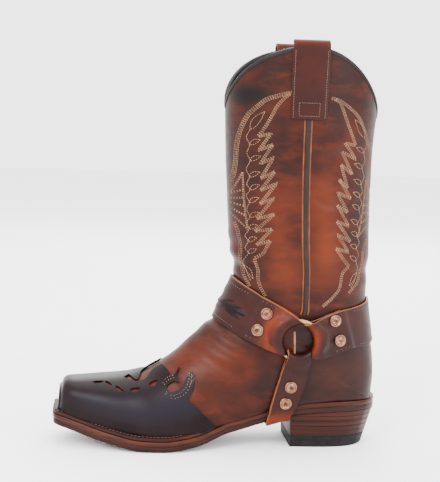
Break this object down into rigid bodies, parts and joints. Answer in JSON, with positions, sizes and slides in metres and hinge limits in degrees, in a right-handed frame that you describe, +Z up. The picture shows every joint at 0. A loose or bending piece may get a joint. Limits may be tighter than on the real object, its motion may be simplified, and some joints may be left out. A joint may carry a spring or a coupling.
{
  "type": "western boot",
  "caption": "Left western harness boot with square toe, flame-cut toe cap, stacked heel, ankle harness with rings, and pull straps.",
  "frame": {"origin": "centre of the bounding box, on the floor the boot stands on", "axes": "+Z up, -X towards the toe, -Y towards the outer side of the foot"},
  "size_m": [0.315, 0.1122, 0.3885],
  "materials": {
    "tan_leather": "waxed red-brown pull-up leather, semi-gloss",
    "dark_leather": "near-black smooth leather, semi-gloss",
    "harness_leather": "burgundy-brown strap leather, semi-gloss",
    "edge_leather": "stained and waxed sole edge",
    "stack_leather": "stacked heel lifts, waxed",
    "lining_leather": "natural lining leather, matte",
    "heel_rubber": "black rubber, matte",
    "brass": "polished pale brass"
  },
  "bodies": {
    "root": {"upper": "tan_leather", "insole": "lining_leather", "welt": "edge_leather", "midsole": "edge_leather", "outsole": "edge_leather", "heel_stack": "stack_leather", "heel_top_lift": "heel_rubber", "toe_cap": "dark_leather", "harness_ring_outer": "brass", "harness_ring_inner": "brass", "harness_front_strap": "harness_leather", "harness_back_strap": "harness_leather", "harness_under_strap": "harness_leather", "pull_strap_outer": "harness_leather", "pull_strap_inner": "harness_leather", "side_seam_outer": "dark_leather", "side_seam_inner": "dark_leather", "front_stud_outer_1": "brass", "front_stud_outer_2": "brass", "front_stud_inner_1": "brass", "front_stud_inner_2": "brass", "back_stud_outer_1": "brass", "back_stud_outer_2": "brass", "back_stud_inner_1": "brass", "back_stud_inner_2": "brass", "under_stud_outer_1": "brass", "under_stud_outer_2": "brass", "under_stud_inner_1": "brass", "under_stud_inner_2": "brass"}
  },
  "joints": []
}
